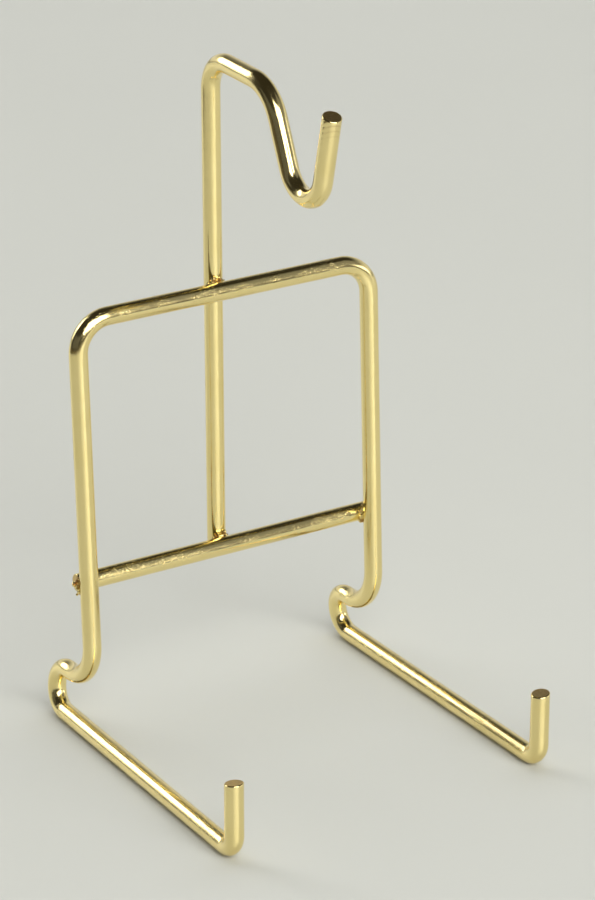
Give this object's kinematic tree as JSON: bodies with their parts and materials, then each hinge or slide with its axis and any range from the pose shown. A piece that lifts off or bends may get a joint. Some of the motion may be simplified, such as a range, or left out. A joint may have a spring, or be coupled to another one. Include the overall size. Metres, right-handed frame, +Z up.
{
  "type": "plate stand",
  "caption": "Bent wire stand that holds a plate upright on two arms against a square frame, with a post behind that ends in a hook for the cup.",
  "frame": {"origin": "on the table at the middle of the footprint", "axes": "+Z up, -Y towards the front, where the arms and the hook reach, +X to the right seen from the front"},
  "size_m": [0.0878, 0.0904, 0.1641],
  "materials": {
    "plated_wire": "polished"
  },
  "bodies": {
    "root": {"main_frame": "plated_wire", "lower_crossbar": "plated_wire", "hook_post": "plated_wire"}
  },
  "joints": []
}
